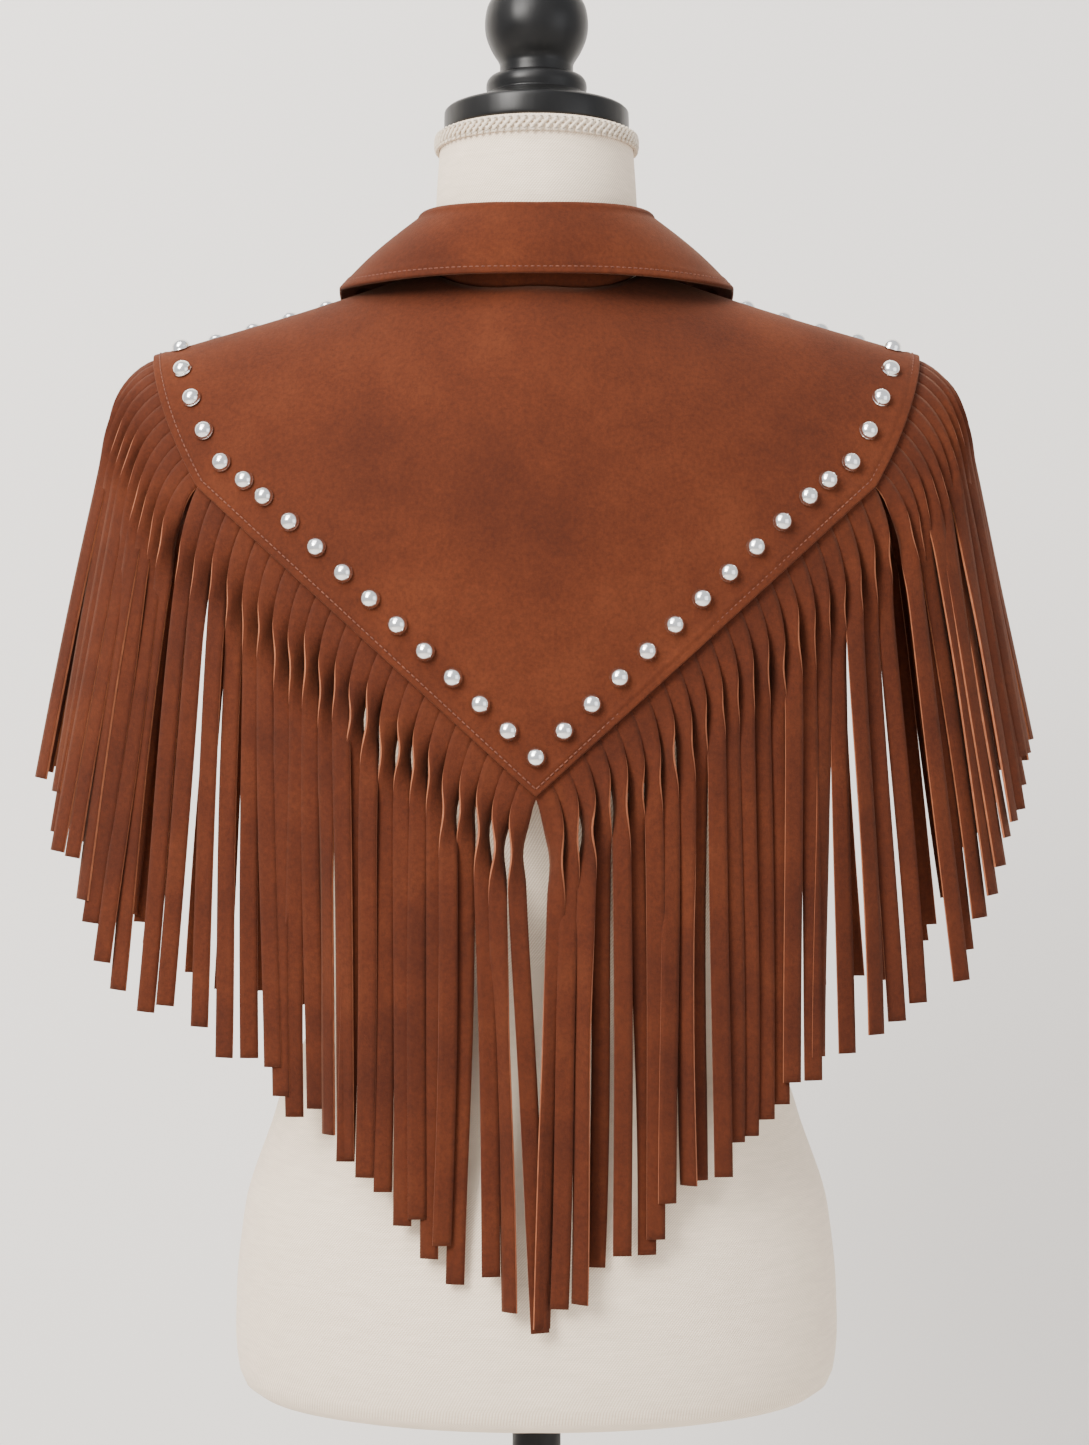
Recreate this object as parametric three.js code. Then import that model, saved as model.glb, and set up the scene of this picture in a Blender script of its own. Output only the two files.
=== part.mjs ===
// A short fringed suede capelet resting on a limbless dress form on a round base.
// Millimetres, +Z up, origin on the floor under the middle of the base.
// The wearer's front faces -Y, so the pointed back yoke faces +Y.
import * as THREE from 'three';

// ---------- driving dimensions ----------
const SEAM = 0.3; // gap between touching pieces
const CLOTH = 2; // suede wall
const FRINGE_WALL = 4; // reach of the strips, front to back
const FRINGE_MIDDLE = 0.8; // half gap between left and right strips at the middle
const FRINGE_TUCK = 8; // how far the strips run under the hem edge
const BEND = 18; // length over which a strip turns down
const SHOULDER_TIP = 221; // half width at the shoulder ridge
const HEM_CORNER = { x: 188, back: 1301.5, front: 1305 };
const HEM_MIDDLE = { back: 1131, front: 1200 };
const NECK_HALF_WIDTH = 64;
const NECK_DEPTH = { back: 76, front: 90 }; // measured along the cloth
const FRONT_EDGE = 0.6; // fronts meet here, each side of the middle
const STUD = { radius: 5.5, height: 4.4, spacing: 14.9, rise: 14.23, first: 1152.3 };

const FACES = {
  back: { name: 'back', sign: 1, settle: Math.PI / 2, soft: 85, softDrop: 27, turnFrom: 900, turnTo: 901 },
  front: { name: 'front', sign: -1, settle: 1.2217, soft: 41, softDrop: 6.4, turnFrom: 230, turnTo: 300 },
};

const finish = (color, roughness, metalness) =>
  () => new THREE.MeshStandardMaterial({ color, roughness, metalness });
const suede = finish(0x9a5a2c, 0.95, 0);
const steel = finish(0xc9ccd0, 0.2, 1);
const linen = finish(0xcbbfa6, 0.9, 0);
const gimp = finish(0xc4b48f, 0.85, 0);
const blackWood = finish(0x14120f, 0.35, 0);

const group = new THREE.Group();

function addMesh(name, geometry, material) {
  const mesh = new THREE.Mesh(geometry, material());
  mesh.name = name;
  group.add(mesh);
  return mesh;
}

// ---------- how the cloth falls from the shoulder ridge ----------
function ridgeHeight(x) {
  const reach = Math.hypot(x, 20);
  return 1383.4 + 0.29 * (SHOULDER_TIP - reach) + 0.0004 * Math.max(0, 165 - reach) ** 2;
}

function slopeAngle(face, x, s) {
  const softness = face.soft - face.softDrop * (x / 187) ** 2;
  const turn = THREE.MathUtils.smoothstep(s, face.turnFrom, face.turnTo);
  return face.settle * (1 - Math.exp(-s / softness)) + (Math.PI / 2 - face.settle) * turn;
}

// Point at side distance x, and s along the cloth from the ridge.
function drape(face, x, s) {
  const steps = Math.max(4, Math.ceil(s / 4));
  const step = s / steps;
  let run = 0;
  let drop = 0;
  for (let k = 0; k < steps; k += 1) {
    const angle = slopeAngle(face, x, (k + 0.5) * step);
    run += Math.cos(angle) * step;
    drop += Math.sin(angle) * step;
  }
  return new THREE.Vector3(x, face.sign * run, ridgeHeight(x) - drop);
}

function drapeNormal(face, x, s) {
  const across = drape(face, x + 1, s).sub(drape(face, x - 1, s));
  const angle = slopeAngle(face, x, s);
  const down = new THREE.Vector3(0, face.sign * Math.cos(angle), -Math.sin(angle));
  return across.cross(down).multiplyScalar(face.sign).normalize();
}

function arcToHeight(face, x, height) {
  let low = 0;
  let high = 500;
  for (let k = 0; k < 30; k += 1) {
    const middle = (low + high) / 2;
    if (drape(face, x, middle).z > height) low = middle;
    else high = middle;
  }
  return (low + high) / 2;
}

// ---------- outlines on the cloth, as side distance x and arc s ----------
function hemPoint(face, t) {
  const inner = face.sign > 0 ? 0 : FRONT_EDGE;
  const x = inner + (HEM_CORNER.x - inner) * t;
  const height = THREE.MathUtils.lerp(HEM_MIDDLE[face.name], HEM_CORNER[face.name], t);
  return { x, s: arcToHeight(face, x, height) };
}

function sidePoint(face, t) {
  const cornerArc = arcToHeight(face, HEM_CORNER.x, HEM_CORNER[face.name]);
  const s = THREE.MathUtils.lerp(cornerArc, SEAM / 2, t);
  const x = SHOULDER_TIP - (SHOULDER_TIP - HEM_CORNER.x) * (s / cornerArc) ** 1.7;
  return { x, s };
}

function neckPoint(face, angle) {
  const inner = face.sign > 0 ? 0 : FRONT_EDGE;
  return {
    x: Math.max(inner, NECK_HALF_WIDTH * Math.cos(angle)),
    s: Math.max(SEAM / 2, NECK_DEPTH[face.name] * Math.sin(angle)),
  };
}

// ---------- closed walls from a grid of points ----------
function gridNormals(rows) {
  return rows.map((row, i) => row.map((point, j) => {
    const along = rows[Math.min(i + 1, rows.length - 1)][j].clone().sub(rows[Math.max(i - 1, 0)][j]);
    const across = row[Math.min(j + 1, row.length - 1)].clone().sub(row[Math.max(j - 1, 0)]);
    return across.cross(along).normalize();
  }));
}

function closedGeometry(positions, index) {
  let volume = 0;
  for (let k = 0; k < index.length; k += 3) {
    const [a, b, c] = [positions[index[k]], positions[index[k + 1]], positions[index[k + 2]]];
    volume += a.dot(b.clone().cross(c));
  }
  if (volume < 0) index.reverse();
  const geometry = new THREE.BufferGeometry();
  geometry.setAttribute('position', new THREE.Float32BufferAttribute(positions.flatMap((p) => p.toArray()), 3));
  geometry.setIndex(index);
  geometry.computeVertexNormals();
  return geometry;
}

// Both skins of the wall, then the strip round its edge.
function wallGeometry(upper, lower) {
  const columns = upper[0].length;
  const count = upper.length * columns;
  const positions = [...upper.flat(), ...lower.flat()];
  const at = (i, j) => i * columns + j;
  const index = [];
  for (let i = 0; i + 1 < upper.length; i += 1) {
    for (let j = 0; j + 1 < columns; j += 1) {
      const [a, b, c, d] = [at(i, j), at(i, j + 1), at(i + 1, j + 1), at(i + 1, j)];
      index.push(a, b, c, a, c, d);
      index.push(count + a, count + c, count + b, count + a, count + d, count + c);
    }
  }
  const rim = [];
  for (let j = 0; j < columns; j += 1) rim.push(at(0, j));
  for (let i = 1; i < upper.length; i += 1) rim.push(at(i, columns - 1));
  for (let j = columns - 2; j >= 0; j -= 1) rim.push(at(upper.length - 1, j));
  for (let i = upper.length - 2; i > 0; i -= 1) rim.push(at(i, 0));
  rim.forEach((a, k) => {
    const b = rim[(k + 1) % rim.length];
    index.push(b, a, count + a, b, count + a, count + b);
  });
  return closedGeometry(positions, index);
}

const moved = (rows, normals, distance) =>
  rows.map((row, i) => row.map((p, j) => p.clone().addScaledVector(normals[i][j], distance)));

// ---------- panels: back with its pointed yoke, and two fronts ----------
const PANEL_ROWS = [0, 0.07, 0.15, 0.24, 0.35, 0.48, 0.64, 0.82, 1];
const HEM_STEPS = 8;
const SIDE_STEPS = 10;

// Columns run from the middle to the shoulder seam, each from neckline to outer edge.
function halfColumns(face) {
  const columns = [];
  const turnAngle = THREE.MathUtils.degToRad(38);
  for (let k = 0; k <= HEM_STEPS; k += 1) {
    const t = k / HEM_STEPS;
    columns.push({ neck: neckPoint(face, THREE.MathUtils.lerp(Math.PI / 2, turnAngle, t)), edge: hemPoint(face, t) });
  }
  for (let k = 1; k <= SIDE_STEPS; k += 1) {
    const t = k / SIDE_STEPS;
    columns.push({ neck: neckPoint(face, THREE.MathUtils.lerp(turnAngle, 0, t)), edge: sidePoint(face, t) });
  }
  return columns;
}

function mirrorColumns(columns) {
  const flip = ({ x, s }) => ({ x: -x, s });
  return columns.map(({ neck, edge }) => ({ neck: flip(neck), edge: flip(edge) })).reverse();
}

function panelGeometry(face, columns, mirror = 1) {
  const flip = new THREE.Vector3(mirror, 1, 1);
  const place = (make) => PANEL_ROWS.map((u) => columns.map(({ neck, edge }) =>
    make(face, THREE.MathUtils.lerp(neck.x, edge.x, u), THREE.MathUtils.lerp(neck.s, edge.s, u)).multiply(flip)));
  const outer = place(drape);
  return wallGeometry(outer, moved(outer, place(drapeNormal), -CLOTH));
}

const backHalf = halfColumns(FACES.back);
const frontHalf = halfColumns(FACES.front);
addMesh('back', panelGeometry(FACES.back, [...mirrorColumns(backHalf), ...backHalf.slice(1)]), suede);
addMesh('front_left', panelGeometry(FACES.front, frontHalf), suede);
addMesh('front_right', panelGeometry(FACES.front, frontHalf, -1), suede);

// ---------- collar: stand, roll and fall in one folded wall ----------
// One row for each station from centre back to centre front.
const COLLAR = [
  { angle: 90, roll: [0, 67, 1458], edge: [0, 76.5, 1418] },
  { angle: 72, roll: [21, 65, 1458.5], edge: [36, 74.5, 1418] },
  { angle: 54, roll: [39, 56.5, 1459.5], edge: [67, 63.5, 1418] },
  { angle: 36, roll: [53, 42, 1461], edge: [92, 45.5, 1418] },
  { angle: 18, roll: [62, 23, 1462.5], edge: [108, 24, 1419] },
  { angle: 0, roll: [65, 1, 1463], edge: [114, -2, 1421] },
  { angle: -18, roll: [62, -22, 1456], edge: [113, -30, 1413] },
  { angle: -36, roll: [53, -42, 1444], edge: [104, -55, 1398] },
  { angle: -54, roll: [38, -57, 1429], edge: [90, -77, 1379] },
  { angle: -72, roll: [21, -67, 1415], edge: [72, -95, 1361] },
  { angle: -89.5, roll: [4, -72, 1405], edge: [52, -110, 1345] },
];
const COLLAR_WALL = 1.8;
const COLLAR_CLEAR = COLLAR_WALL / 2 + 2.4;

// Height of a point above the cloth, with the cloth's normal there.
function aboveCloth(point) {
  const face = point.y >= 0 ? FACES.back : FACES.front;
  let best = null;
  for (let s = 0; s <= 320; s += 2) {
    const distance = drape(face, point.x, s).distanceTo(point);
    if (!best || distance < best.distance) best = { s, distance };
  }
  const normal = drapeNormal(face, point.x, best.s);
  return { height: point.clone().sub(drape(face, point.x, best.s)).dot(normal), normal };
}

// Lifts a point off the cloth until it clears the panels.
function clearOfCloth(point, clearance) {
  const { height, normal } = aboveCloth(point);
  if (height < clearance) point.addScaledVector(normal, clearance - height);
  return point;
}

function collarStation({ angle, roll, edge }) {
  const radians = THREE.MathUtils.degToRad(Math.abs(angle));
  const face = angle >= 0 ? FACES.back : FACES.front;
  const { x, s } = neckPoint(face, radians);
  const foot = drape(face, x, s);
  const inset = angle < 0 ? 2.2 + 1.6 * Math.sin(radians) ** 2 : 2.2;
  const inward = new THREE.Vector3(foot.x, foot.y, 0).normalize().multiplyScalar(-inset);
  foot.add(inward).add(new THREE.Vector3(0, 0, -0.5));
  const top = new THREE.Vector3(...roll);
  const tip = new THREE.Vector3(...edge);
  const outward = new THREE.Vector3(tip.x - foot.x, tip.y - foot.y, 0).normalize();
  const stand = Math.min(4, (top.z - foot.z) * 0.45);
  const insideRoll = top.clone().addScaledVector(outward, -3).add(new THREE.Vector3(0, 0, -stand));
  const outsideRoll = top.clone().addScaledVector(outward, 3).add(new THREE.Vector3(0, 0, -3));
  const path = [foot, foot.clone().lerp(insideRoll, 0.5), insideRoll, top, outsideRoll];
  for (const t of [0.25, 0.5, 0.75, 1]) {
    const crown = outward.clone().multiplyScalar(3 * Math.sin(Math.PI * t));
    path.push(clearOfCloth(outsideRoll.clone().lerp(tip, t).add(crown), COLLAR_CLEAR));
  }
  return path;
}

function addCollar() {
  const half = COLLAR.map(collarStation);
  const mirrored = half.slice(1).map((path) => path.map((p) => new THREE.Vector3(-p.x, p.y, p.z))).reverse();
  const stations = [...mirrored, ...half];
  const rows = stations[0].map((_, i) => stations.map((path) => path[i]));
  const normals = gridNormals(rows);
  addMesh('collar', wallGeometry(moved(rows, normals, COLLAR_WALL / 2), moved(rows, normals, -COLLAR_WALL / 2)), suede);
}
addCollar();

// ---------- fringe: the space that the cut strips fill ----------
const FRINGE_ROWS = [0, 8, 16, 26, 40, 62, 105, 185, Infinity];

// Strips splay outward near the shoulder tip and hang straight lower down.
function hangDirection(face, x) {
  const flare = THREE.MathUtils.degToRad(11) * THREE.MathUtils.clamp((Math.abs(x) - 150) / 71, 0, 1);
  const away = THREE.MathUtils.degToRad(1.2) * face.sign;
  return new THREE.Vector3(Math.sign(x) * Math.sin(flare), Math.sin(away), -Math.cos(flare)).normalize();
}

function stripLength(face, x, s) {
  const nearTip = THREE.MathUtils.smoothstep(Math.abs(x), 188, 221);
  return THREE.MathUtils.lerp(284, 240, nearTip);
}

// A strip's path starts under the hem, leaves it at right angles and turns down.
function stripPath(face, edge, before, after) {
  const below = CLOTH + 3 * SEAM + FRINGE_WALL / 2;
  const tangent = { x: after.x - before.x, s: after.s - before.s };
  const size = Math.hypot(tangent.x, tangent.s);
  const out = { x: tangent.s / size, s: -tangent.x / size };
  if (out.x * Math.sign(edge.x || 1) < 0 || (edge.x === 0 && out.s < 0)) {
    out.x *= -1;
    out.s *= -1;
  }
  const tucked = (d) => ({ x: Math.max(FRINGE_MIDDLE, edge.x - out.x * d), s: Math.max(SEAM, edge.s - out.s * d) });
  const lay = ({ x, s }) => drape(face, x, s).addScaledVector(drapeNormal(face, x, s), -below);
  const start = lay(edge);
  const leave = start.clone().sub(lay(tucked(2))).normalize();
  const end = hangDirection(face, edge.x);
  const total = stripLength(face, edge.x, edge.s);
  const path = [];
  const cursor = start.clone();
  let travelled = 0;
  for (const row of FRINGE_ROWS) {
    if (row < FRINGE_TUCK) {
      path.push(lay(tucked(FRINGE_TUCK - row)));
    } else {
      const target = Math.min(total, row - FRINGE_TUCK);
      while (travelled < target) {
        const step = Math.min(3, target - travelled);
        const share = Math.exp(-(travelled + step / 2) / BEND);
        cursor.addScaledVector(end.clone().lerp(leave, share).normalize(), step);
        travelled += step;
      }
      path.push(cursor.clone());
    }
  }
  return path;
}

function addFringe(name, columns) {
  const rows = columns[0].map((_, i) => columns.map((path) => path[i]));
  const normals = gridNormals(rows);
  const half = FRINGE_WALL / 2;
  addMesh(name, wallGeometry(moved(rows, normals, half), moved(rows, normals, -half)), suede);
}

const flipPath = (path) => path.map((p) => new THREE.Vector3(-p.x, p.y, p.z));

// Paths along one run of the outline, each measured against its neighbours on that run.
function runPaths(face, outline, from, to, count) {
  return Array.from({ length: count + 1 }, (_, k) => {
    const t = THREE.MathUtils.lerp(from, to, k / count);
    const reach = 0.02;
    return stripPath(face, outline(face, t), outline(face, Math.max(0, t - reach)), outline(face, Math.min(1, t + reach)));
  });
}

// The runs stop short of the hem corner, so neighbours stay apart.
const HEM_RUN_END = 0.965;
const SIDE_RUN_START = 0.1;
const SIDE_RUN_END = 0.985;

function addFringes() {
  const back = runPaths(FACES.back, hemPoint, 0.012, HEM_RUN_END, 8);
  const front = runPaths(FACES.front, hemPoint, 0.012, HEM_RUN_END, 8);
  const behind = runPaths(FACES.back, sidePoint, SIDE_RUN_START, SIDE_RUN_END, 6);
  const ahead = runPaths(FACES.front, sidePoint, SIDE_RUN_START, SIDE_RUN_END, 6);
  for (const [side, change] of [['left', (path) => path], ['right', flipPath]]) {
    addFringe(`fringe_back_${side}`, back.map(change));
    addFringe(`fringe_front_${side}`, front.map(change));
    addFringe(`fringe_shoulder_back_${side}`, behind.map(change));
    addFringe(`fringe_shoulder_front_${side}`, ahead.map(change));
  }
}
addFringes();

// ---------- dress form ----------
// Half width, depth behind and in front of the middle, and squareness, by height.
const TORSO = [
  { z: 785, half: 150, back: 92, front: 90, square: 2.1 },
  { z: 791, half: 166, back: 105, front: 100, square: 2.1 },
  { z: 805, half: 172, back: 110, front: 104, square: 2.1 },
  { z: 845, half: 173, back: 112, front: 106, square: 2.1 },
  { z: 892, half: 168.3, back: 109, front: 103, square: 2.1 },
  { z: 952, half: 149.6, back: 97, front: 95, square: 2.1 },
  { z: 1000, half: 130, back: 87, front: 90, square: 2.1 },
  { z: 1040, half: 121, back: 82, front: 88, square: 2.1 },
  { z: 1090, half: 124, back: 84, front: 93, square: 2.1 },
  { z: 1150, half: 136, back: 91, front: 106, square: 2.05 },
  { z: 1215, half: 147, back: 97, front: 120, square: 2 },
  { z: 1270, half: 152, back: 98, front: 113, square: 1.9 },
  { z: 1320, half: 158, back: 93, front: 94, square: 1.8 },
  { z: 1350, half: 168, back: 83, front: 75, square: 1.7 },
  { z: 1372, half: 184, back: 71, front: 60, square: 1.6 },
  { z: 1384, half: 186, back: 64, front: 56, square: 1.6 },
  { z: 1395, half: 155, back: 57, front: 49, square: 1.55 },
  { z: 1405, half: 110, back: 54, front: 47, square: 1.5 },
  { z: 1415, half: 76, back: 54.5, front: 50, square: 1.6 },
  { z: 1427, half: 58.8, back: 56, front: 55, square: 1.9 },
  { z: 1465, half: 58.3, back: 57, front: 57, square: 2 },
  { z: 1511, half: 55.6, back: 55.6, front: 55.6, square: 2 },
];
const TORSO_SEGMENTS = 24;
const UNDER_CLOTH = CLOTH + 0.8; // from the cloth's outer face down to the form

function keepUnderCloth(point) {
  for (let pass = 0; pass < 4; pass += 1) {
    const { height, normal } = aboveCloth(point);
    if (height > -UNDER_CLOTH) point.addScaledVector(normal, -UNDER_CLOTH - height);
  }
  return point;
}

function torsoPoint(row, k) {
  const angle = (2 * Math.PI * k) / TORSO_SEGMENTS;
  const power = 2 / row.square;
  const bend = (value) => Math.sign(value) * Math.abs(value) ** power;
  const depth = Math.sin(angle) > 0 ? row.back : row.front;
  const point = new THREE.Vector3(row.half * bend(Math.cos(angle)), depth * bend(Math.sin(angle)), row.z);
  const besideNeck = Math.hypot(point.x, point.y) > NECK_HALF_WIDTH;
  return row.z > HEM_MIDDLE.back && besideNeck ? keepUnderCloth(point) : point;
}

function addTorso() {
  const positions = TORSO.flatMap((row) => Array.from({ length: TORSO_SEGMENTS }, (_, k) => torsoPoint(row, k)));
  const index = [];
  for (let i = 0; i + 1 < TORSO.length; i += 1) {
    for (let k = 0; k < TORSO_SEGMENTS; k += 1) {
      const next = (k + 1) % TORSO_SEGMENTS;
      const [a, b] = [i * TORSO_SEGMENTS + k, i * TORSO_SEGMENTS + next];
      const [c, d] = [b + TORSO_SEGMENTS, a + TORSO_SEGMENTS];
      index.push(a, b, c, a, c, d);
    }
  }
  const topStart = (TORSO.length - 1) * TORSO_SEGMENTS;
  for (let k = 1; k + 1 < TORSO_SEGMENTS; k += 1) {
    index.push(0, k + 1, k);
    index.push(topStart, topStart + k, topStart + k + 1);
  }
  addMesh('torso', closedGeometry(positions, index), linen);
}
addTorso();

// A turned piece: profile of [radius, height] pairs, standing on the Z axis.
function addTurned(name, profile, segments, material) {
  const points = profile.map(([radius, height]) => new THREE.Vector2(radius, height));
  const mesh = addMesh(name, new THREE.LatheGeometry(points, segments), material);
  mesh.rotation.x = Math.PI / 2;
}

const NECK_TOP = TORSO.at(-1).z;
const NECK_RADIUS = TORSO.at(-1).half;
const TORSO_BOTTOM = TORSO[0].z;
const HUB_TOP = 74;

addTurned('neck_braid', [
  [NECK_RADIUS + 0.9, NECK_TOP - 11], [NECK_RADIUS + 3, NECK_TOP - 10], [NECK_RADIUS + 3, NECK_TOP - 1],
  [NECK_RADIUS + 0.9, NECK_TOP], [NECK_RADIUS + 0.9, NECK_TOP - 11],
], 24, gimp);
addTurned('neck_cap', [
  [0, NECK_TOP + SEAM], [52, NECK_TOP + SEAM], [53.5, NECK_TOP + 3], [53.5, NECK_TOP + 12],
  [51, NECK_TOP + 15.5], [33, NECK_TOP + 22], [29, NECK_TOP + 24], [28.5, NECK_TOP + 31], [24, NECK_TOP + 34],
  [0, NECK_TOP + 34],
], 20, blackWood);
const FINIAL_FOOT = NECK_TOP + 34 + SEAM;
addTurned('finial', [
  [0, FINIAL_FOOT], [21.5, FINIAL_FOOT], [21.8, FINIAL_FOOT + 8], [26, FINIAL_FOOT + 15], [29.6, FINIAL_FOOT + 24],
  [30, FINIAL_FOOT + 33], [28, FINIAL_FOOT + 41], [26.5, FINIAL_FOOT + 44], [28, FINIAL_FOOT + 47],
  [27, FINIAL_FOOT + 53], [17, FINIAL_FOOT + 61], [13.5, FINIAL_FOOT + 70], [15, FINIAL_FOOT + 78],
  [20, FINIAL_FOOT + 85], [20, FINIAL_FOOT + 93], [13, FINIAL_FOOT + 102], [0, FINIAL_FOOT + 105],
], 16, blackWood);
addTurned('pole', [[0, HUB_TOP + SEAM], [14, HUB_TOP + SEAM], [14, TORSO_BOTTOM - SEAM], [0, TORSO_BOTTOM - SEAM]], 20,
  blackWood);
addTurned('base', [
  [0, 0], [178, 0], [180, 2], [180, 9], [177, 12], [60, 17], [30, 24], [22, 40], [20, HUB_TOP], [0, HUB_TOP],
], 28, blackWood);

// ---------- domed studs ----------
function addStud(name, face, x, s) {
  const { radius, height } = STUD;
  const profile = [[0, 0], [radius, 0], [radius * 0.93, height * 0.38], [radius * 0.6, height * 0.82], [0, height]];
  const points = profile.map(([r, h]) => new THREE.Vector2(r, h));
  const mesh = addMesh(name, new THREE.LatheGeometry(points, 8), steel);
  const normal = drapeNormal(face, x, s);
  mesh.position.copy(drape(face, x, s).addScaledVector(normal, SEAM));
  mesh.quaternion.setFromUnitVectors(new THREE.Vector3(0, 1, 0), normal);
}

// Side distance and height of the studs between the hem row and the shoulder ridge.
const SIDE_STUDS = [[160.3, 1304], [173.6, 1314.5], [184.3, 1332.8], [192.7, 1352.2], [199.9, 1370]];
const RIDGE_STUD = { x: 204, s: 13 };
const SHOULDER_ROW = { first: 100.5, spacing: 21.5, count: 4, s: 8 };
const HEM_STUDS = 10;

function addStuds() {
  const { back, front } = FACES;
  addStud('stud_back_0', back, 0, arcToHeight(back, 0, STUD.first));
  for (const [side, sign] of [['left', 1], ['right', -1]]) {
    for (let k = 1; k <= HEM_STUDS; k += 1) {
      const x = STUD.spacing * k;
      addStud(`stud_back_${side}_${k}`, back, sign * x, arcToHeight(back, x, STUD.first + STUD.rise * k));
    }
    SIDE_STUDS.forEach(([x, height], k) => {
      addStud(`stud_back_${side}_${HEM_STUDS + 1 + k}`, back, sign * x, arcToHeight(back, x, height));
    });
    addStud(`stud_back_${side}_16`, back, sign * RIDGE_STUD.x, RIDGE_STUD.s);
    for (let k = 0; k < SHOULDER_ROW.count; k += 1) {
      const x = SHOULDER_ROW.first + SHOULDER_ROW.spacing * k;
      addStud(`stud_shoulder_${side}_${k + 1}`, front, sign * x, SHOULDER_ROW.s);
    }
  }
}
addStuds();

export default group;
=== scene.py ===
"""Looks of a fringed suede capelet on a limbless dress form.

Lengths in the functions are millimetres, and add_piece turns them into metres.
+Z is up, the wearer's front faces -Y, and the pointed back faces the camera on +Y.
"""
import math
import random

import bpy
import numpy as np
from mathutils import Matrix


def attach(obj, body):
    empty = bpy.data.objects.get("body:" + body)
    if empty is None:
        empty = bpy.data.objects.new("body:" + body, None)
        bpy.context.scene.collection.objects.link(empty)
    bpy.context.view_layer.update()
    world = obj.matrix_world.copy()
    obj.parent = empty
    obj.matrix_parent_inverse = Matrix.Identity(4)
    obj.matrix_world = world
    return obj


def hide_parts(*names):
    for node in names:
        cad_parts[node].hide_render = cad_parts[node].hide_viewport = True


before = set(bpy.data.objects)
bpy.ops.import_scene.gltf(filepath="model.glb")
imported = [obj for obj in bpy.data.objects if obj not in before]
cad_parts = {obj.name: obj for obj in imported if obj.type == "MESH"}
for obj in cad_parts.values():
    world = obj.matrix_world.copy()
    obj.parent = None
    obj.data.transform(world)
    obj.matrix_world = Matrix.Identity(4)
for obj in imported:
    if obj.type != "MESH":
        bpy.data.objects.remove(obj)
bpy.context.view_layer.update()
MM = 0.001
rng = random.Random(11)

# ---------- driving sizes, as in the part ----------
SHOULDER_TIP = 221
CORNER_X = 188
HEM_CORNER = {"back": 1301.5, "front": 1305}
HEM_MIDDLE = {"back": 1131, "front": 1200}
NECK_HALF_WIDTH = 64
NECK_DEPTH = {"back": 76, "front": 90}
FRONT_EDGE = 0.6
CLOTH = 2.0
SEAM_ARC = 0.15  # half the gap at the shoulder seam, along the cloth
STITCH_INSET = 4.2
NECK_TURN = math.radians(38)  # where the columns change from the hem to the side edge
RIDGE = dict(height=1383.4, fall=0.29, lift=0.0004, lift_from=165, round=20)
DRAPE_STEPS = 60
FACES = {
    "back": dict(sign=1, settle=math.pi / 2, soft=85, soft_drop=27, turn=(900, 901)),
    "front": dict(sign=-1, settle=1.2217, soft=41, soft_drop=6.4, turn=(230, 300)),
}


def smooth(value, low=0.0, high=1.0):
    t = np.clip((value - low) / (high - low), 0, 1)
    return t * t * (3 - 2 * t)


def unit(v):
    return v / np.linalg.norm(v, axis=-1, keepdims=True)


# ---------- how the cloth falls from the shoulder ridge ----------
def ridge_height(x):
    reach = np.hypot(x, RIDGE["round"])
    rise = RIDGE["lift"] * np.maximum(0, RIDGE["lift_from"] - reach) ** 2
    return RIDGE["height"] + RIDGE["fall"] * (SHOULDER_TIP - reach) + rise


def slope_angle(face, x, s):
    law = FACES[face]
    softness = law["soft"] - law["soft_drop"] * (x / 187) ** 2
    turn = smooth(s, *law["turn"])
    return law["settle"] * (1 - np.exp(-s / softness)) + (math.pi / 2 - law["settle"]) * turn


def drape(face, x, s):
    """Points at side distance x, and s along the cloth from the ridge."""
    x, s = np.broadcast_arrays(np.asarray(x, float), np.asarray(s, float))
    middle = (np.arange(DRAPE_STEPS) + 0.5) / DRAPE_STEPS
    angle = slope_angle(face, x[..., None], s[..., None] * middle)
    run = np.cos(angle).mean(-1) * s
    drop = np.sin(angle).mean(-1) * s
    return np.stack([x, FACES[face]["sign"] * run, ridge_height(x) - drop], -1)


def drape_normal(face, x, s):
    sign = FACES[face]["sign"]
    across = drape(face, x + 1, s) - drape(face, x - 1, s)
    angle = slope_angle(face, x, s)
    down = np.stack([np.zeros_like(angle), sign * np.cos(angle), -np.sin(angle)], -1)
    return unit(np.cross(across, down) * sign)


def arc_to_height(face, x, height):
    low, high = np.zeros_like(x, float), np.full_like(x, 500.0, float)
    for _ in range(26):
        middle = (low + high) / 2
        above = drape(face, x, middle)[..., 2] > height
        low, high = np.where(above, middle, low), np.where(above, high, middle)
    return (low + high) / 2


# ---------- outlines on the cloth, as side distance x and arc s ----------
def hem_line(face, t):
    t = np.asarray(t, float)
    inner = 0 if face == "back" else FRONT_EDGE
    x = inner + (CORNER_X - inner) * t
    height = HEM_MIDDLE[face] + (HEM_CORNER[face] - HEM_MIDDLE[face]) * t
    return x, arc_to_height(face, x, height)


def corner_arc(face):
    return float(arc_to_height(face, np.array(float(CORNER_X)), HEM_CORNER[face]))


def side_line(face, t):
    arc = corner_arc(face)
    s = arc + (SEAM_ARC - arc) * np.asarray(t, float)
    return SHOULDER_TIP - (SHOULDER_TIP - CORNER_X) * (s / arc) ** 1.7, s


def neck_line(face, angle):
    inner = 0 if face == "back" else FRONT_EDGE
    x = np.maximum(inner, NECK_HALF_WIDTH * np.cos(angle))
    return x, np.maximum(SEAM_ARC, NECK_DEPTH[face] * np.sin(angle))


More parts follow.
